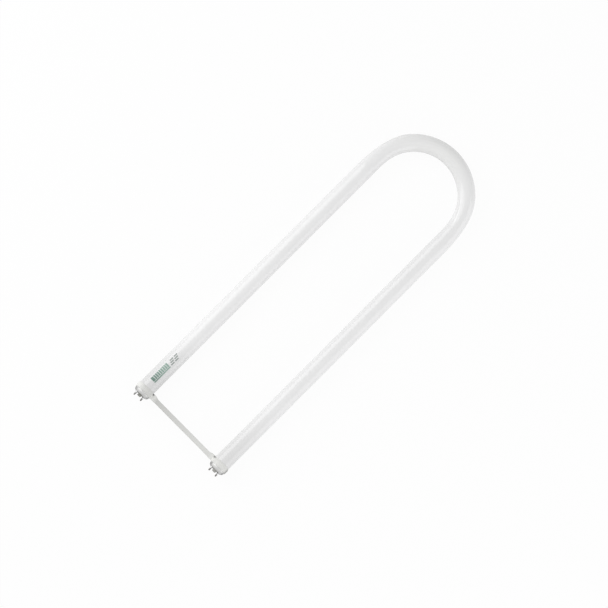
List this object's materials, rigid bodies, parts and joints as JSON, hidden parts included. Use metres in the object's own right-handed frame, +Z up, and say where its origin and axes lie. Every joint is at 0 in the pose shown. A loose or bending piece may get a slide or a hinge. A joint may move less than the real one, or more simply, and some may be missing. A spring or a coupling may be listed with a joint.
{
  "type": "u-shaped fluorescent bulb",
  "caption": "White glass fluorescent tube bent into a U, with bi-pin bases on the ends of its legs and a moulded brace that joins them.",
  "frame": {"origin": "on the surface that the lamp lies on, midway across the legs and midway between the pin tips and the outside of the bend", "axes": "+X across the legs, +Y along the legs from the bases to the bend, +Z up, out of the plane of the U"},
  "size_m": [0.1806, 0.5788, 0.0282],
  "materials": {
    "white_glass": "gloss, white coat inside",
    "brace_plastic": "moulded satin",
    "shell_aluminium": "drawn, satin",
    "insulator_phenolic": "moulded",
    "pin_nickel": "nickel plate",
    "lead_wire": "drawn wire",
    "basing_cement": "cured cement"
  },
  "bodies": {
    "root": {"glass_tube": "white_glass", "leg_brace": "brace_plastic", "left_base_shell": "shell_aluminium", "left_cement": "basing_cement", "left_insulator": "insulator_phenolic", "left_outer_pin": "pin_nickel", "left_outer_lead": "lead_wire", "left_inner_pin": "pin_nickel", "left_inner_lead": "lead_wire", "right_base_shell": "shell_aluminium", "right_cement": "basing_cement", "right_insulator": "insulator_phenolic", "right_outer_pin": "pin_nickel", "right_outer_lead": "lead_wire", "right_inner_pin": "pin_nickel", "right_inner_lead": "lead_wire"}
  },
  "joints": []
}
